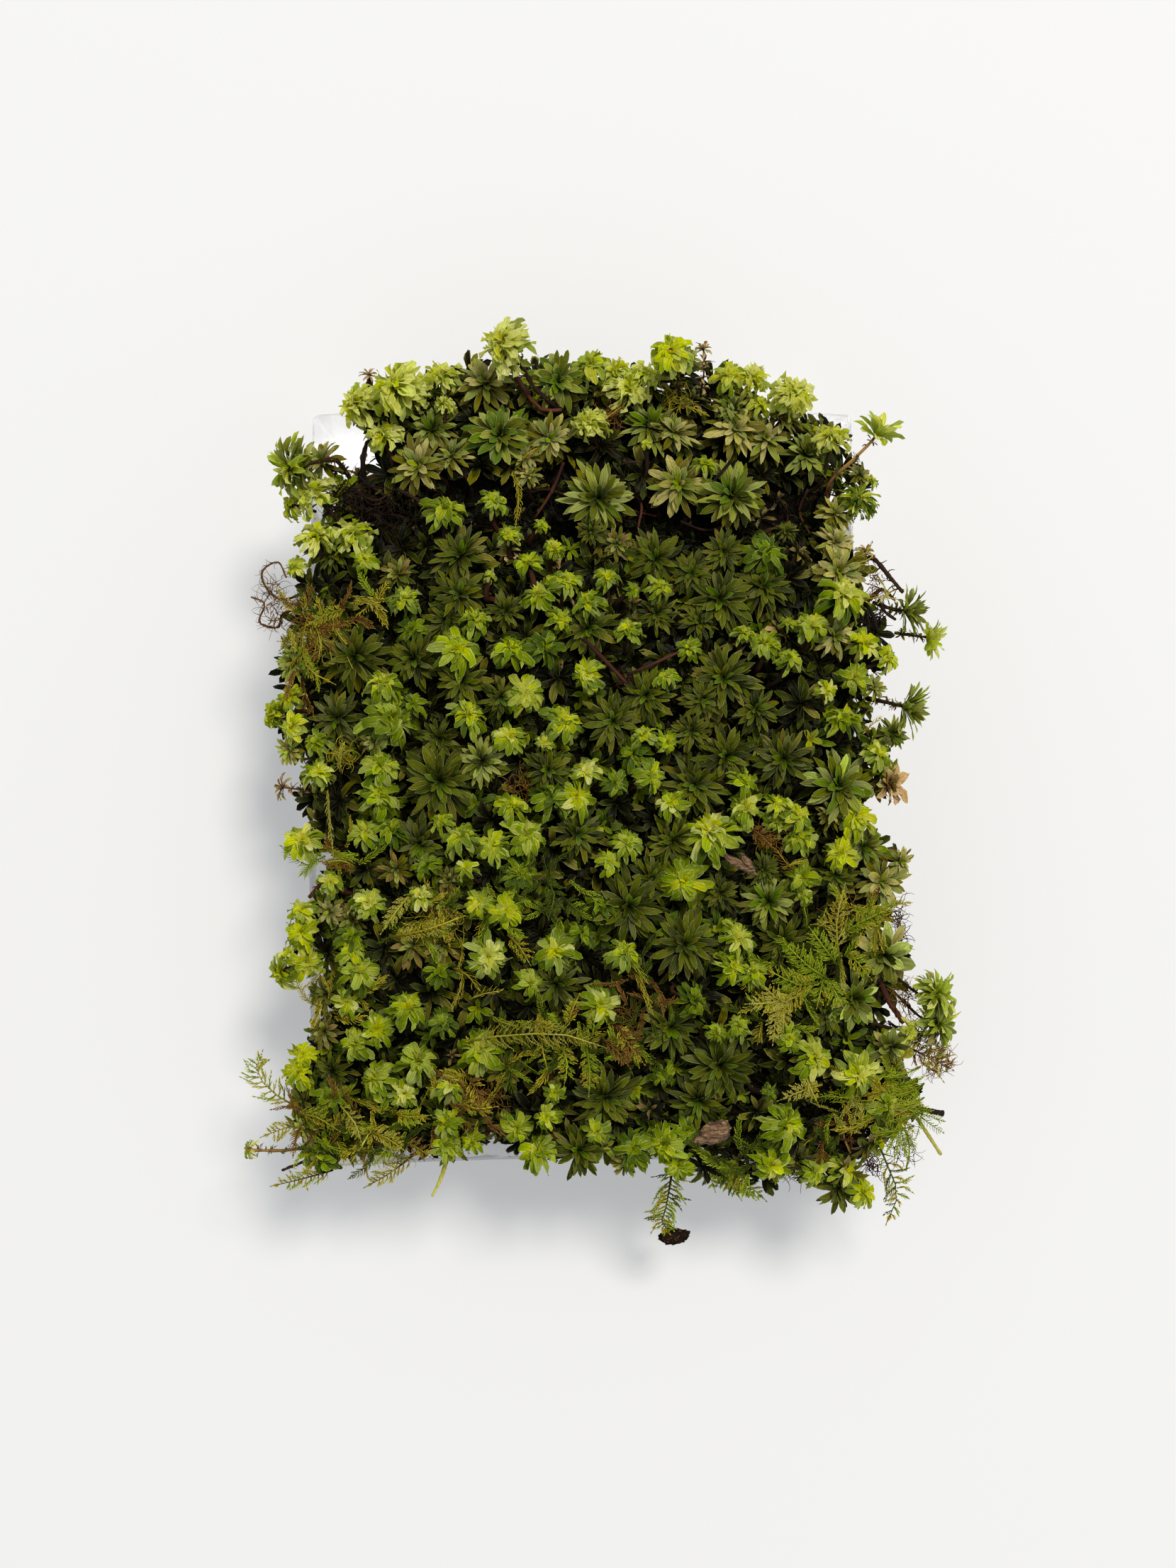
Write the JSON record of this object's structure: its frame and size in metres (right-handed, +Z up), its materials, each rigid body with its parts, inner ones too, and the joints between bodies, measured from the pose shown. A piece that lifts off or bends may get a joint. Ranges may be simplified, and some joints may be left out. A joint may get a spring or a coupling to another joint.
{
  "type": "moss clump",
  "caption": "Living clump of rose moss and fern moss on a dark root mat, growing over the rim of a shallow clear tray",
  "frame": {"origin": "on the tray's underside, at the middle of its base, with the clump standing above it", "axes": "+Z is up, out of the tray; +Y is the tray's back, along its long side; +X is to the right, seen from the front"},
  "size_m": [0.156, 0.2017, 0.0575],
  "materials": {
    "moss_leaves": "soft leaves, dark to olive green",
    "young_leaves": "soft leaves, bright yellow green",
    "dried_leaves": "dry, papery, tan",
    "fern_moss": "soft feathery fronds, golden green",
    "dead_stems": "dull, dark brown, fibrous",
    "soil": "damp crumbly soil felted with fine brown rhizoids",
    "bark": "rough, red brown",
    "clear_plastic": "clear, glossy, thin"
  },
  "bodies": {
    "root": {"bark_chip": "bark", "dead_loop_left": "dead_stems", "dead_tail_left": "dead_stems", "frond_front_hanging": "fern_moss", "frond_front_left": "fern_moss", "frond_front_left_tip": "fern_moss", "frond_front_mass": "fern_moss", "frond_front_right": "fern_moss", "frond_left_curled": "fern_moss", "frond_left_gold": "fern_moss", "frond_left_small": "fern_moss", "frond_right_roots": "fern_moss", "moss_cushion": "moss_leaves", "needle_front_left": "dead_stems", "needle_front_mid": "dead_stems", "needle_right": "dead_stems", "rod_right_front": "dead_stems", "root_mat": "soil", "root_right_lower": "dead_stems", "root_right_upper": "dead_stems", "shoot_back_curled": "dried_leaves", "shoot_back_fan": "young_leaves", "shoot_back_left_tip": "young_leaves", "shoot_back_left_tuft": "young_leaves", "shoot_back_mid_tall": "young_leaves", "shoot_back_right_fan": "young_leaves", "shoot_front_left_long": "young_leaves", "shoot_left_back_dark": "moss_leaves", "shoot_left_bud": "young_leaves", "shoot_left_dried": "dried_leaves", "shoot_left_front_star": "young_leaves", "shoot_left_star": "young_leaves", "shoot_right_back_fan": "young_leaves", "shoot_right_brush": "young_leaves", "shoot_right_dark": "moss_leaves", "shoot_right_dried_star": "dried_leaves", "shoot_right_front_lower": "moss_leaves", "shoot_right_front_upper": "moss_leaves", "shoot_right_mid_dark": "moss_leaves", "shoot_right_pale": "young_leaves", "soil_crumb": "soil", "soil_lump": "bark", "stem_arch_back_left": "dead_stems", "stem_left_gap": "dead_stems", "stub_front_left": "dead_stems", "stub_right": "dead_stems", "tray": "clear_plastic"}
  },
  "joints": []
}
